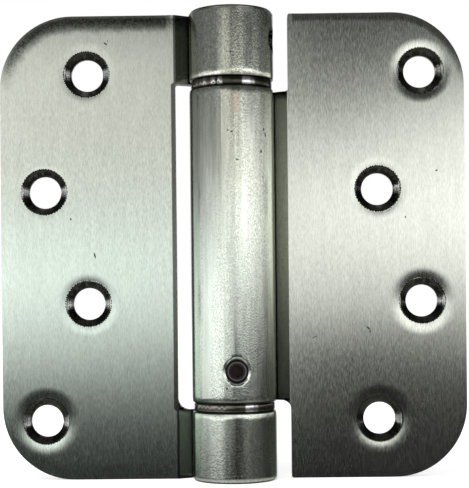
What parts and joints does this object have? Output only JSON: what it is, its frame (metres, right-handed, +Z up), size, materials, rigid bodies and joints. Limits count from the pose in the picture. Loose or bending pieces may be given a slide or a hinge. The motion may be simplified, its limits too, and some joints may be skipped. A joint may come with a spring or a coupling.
{
  "type": "spring loaded door hinge",
  "caption": "Full mortise spring hinge: two round cornered leaves of formed steel rolled into one barrel that holds a wound spring, with a keyed tension adjuster.",
  "frame": {"origin": "on the pin axis at half the hinge's height", "axes": "+Z up along the pin axis, +X across the door leaf, +Y toward the backs of the leaves; the countersunk faces look toward -Y"},
  "size_m": [0.1016, 0.0184, 0.1016],
  "materials": {
    "leaf_steel": "stainless steel sheet brushed along the pin axis",
    "polished_steel": "turned and polished steel",
    "turned_steel": "turned steel with a plain zinc finish",
    "spring_steel": "oiled square spring wire",
    "black_steel": "black oxide",
    "bearing_plastic": "plain nylon"
  },
  "bodies": {
    "frame_side": {"frame_leaf": "leaf_steel", "upper_thrust_washer": "polished_steel", "lower_thrust_washer": "polished_steel", "lower_bearing_sleeve": "bearing_plastic"},
    "door_side": {"door_leaf": "leaf_steel", "upper_bearing_sleeve": "bearing_plastic", "torsion_spring": "spring_steel", "spring_anchor": "turned_steel", "set_screw": "black_steel"},
    "adjuster": {"tension_adjuster": "turned_steel"}
  },
  "joints": [
    {"name": "leaf_swing", "type": "hinge", "parent": "frame_side", "child": "door_side", "pos_m": [0, 0, 0], "axis": [0, 0, -1], "range_deg": [-90, 180]},
    {"name": "tension_turn", "type": "hinge", "parent": "door_side", "child": "adjuster", "pos_m": [0, 0, 0.0427], "axis": [0, 0, -1], "range_deg": [0, 270], "stiffness_Nm_per_rad": 0.63, "deforming": ["torsion_spring"]}
  ]
}
